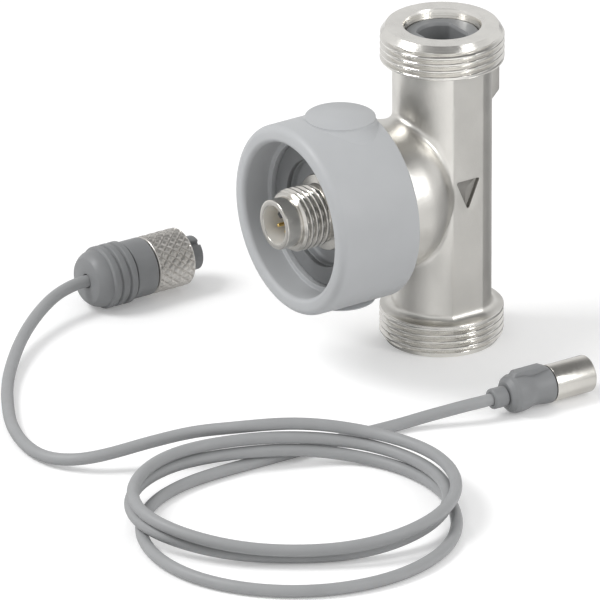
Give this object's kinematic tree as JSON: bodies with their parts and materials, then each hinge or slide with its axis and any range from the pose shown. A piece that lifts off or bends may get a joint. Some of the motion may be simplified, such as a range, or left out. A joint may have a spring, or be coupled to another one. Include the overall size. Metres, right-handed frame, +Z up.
{
  "type": "flow sensor",
  "caption": "Inline flow sensor: threaded pipe section with a round cup-shaped head, a threaded receptacle in it, and its unplugged coiled lead with a knurled plug and a slim connector.",
  "frame": {"origin": "centre of the bounding box of the sensor without its lead, at the face it stands on", "axes": "+Z up along the pipe towards the inlet, -Y out of the head, +X towards the side with the flow arrow"},
  "size_m": [0.2032, 0.1632, 0.09],
  "materials": {
    "gunmetal": "satin cast metal with machined threads",
    "housing_plastic": "fine matt moulding",
    "dark_plastic": "plain moulding",
    "nickel": "turned and nickel plated",
    "steel": "plain steel",
    "gold": "gold plated contacts",
    "seal_rubber": "matt rubber",
    "board": "solder mask",
    "plug_plastic": "fine matt moulding",
    "cable_jacket": "smooth matt jacket"
  },
  "bodies": {
    "sensor_and_lead": {"flow_body": "gunmetal", "measuring_insert": "dark_plastic", "insert_seal_upper": "seal_rubber", "insert_seal_lower": "seal_rubber", "sensor_holder": "dark_plastic", "holder_seal": "seal_rubber", "sensing_paddle": "steel", "signal_pin_1": "gold", "signal_pin_2": "gold", "signal_pin_3": "gold", "head_housing": "housing_plastic", "housing_screw_1": "steel", "housing_screw_2": "steel", "housing_screw_3": "steel", "housing_screw_4": "steel", "retaining_ring": "dark_plastic", "receptacle_carrier": "housing_plastic", "carrier_seal": "seal_rubber", "circuit_board": "board", "processor_chip": "dark_plastic", "receptacle_shell": "nickel", "receptacle_gasket": "seal_rubber", "receptacle_nut": "nickel", "receptacle_insert": "dark_plastic", "contact_pin_1": "gold", "contact_pin_2": "gold", "contact_pin_3": "gold", "contact_pin_4": "gold", "plug_rear_cap": "plug_plastic", "plug_barrel": "plug_plastic", "ring_clip": "steel", "plug_insert": "dark_plastic", "socket_contact_1": "gold", "socket_contact_2": "gold", "socket_contact_3": "gold", "socket_contact_4": "gold", "connector_ferrule": "plug_plastic", "connector_grip": "plug_plastic", "connector_sleeve": "nickel", "connector_insert": "dark_plastic", "connector_pin_1": "gold", "connector_pin_2": "gold", "connector_pin_3": "gold", "connector_pin_4": "gold", "cable_lead_plug_side": "cable_jacket", "cable_coil": "cable_jacket", "cable_lead_connector_side": "cable_jacket"},
    "ring": {"coupling_ring": "nickel"}
  },
  "joints": [
    {"name": "coupling_ring_turn", "type": "hinge", "parent": "sensor_and_lead", "child": "ring", "pos_m": [-0.06595, -0.0272, 0.0086], "axis": [0, 1, 0], "continuous": true}
  ]
}
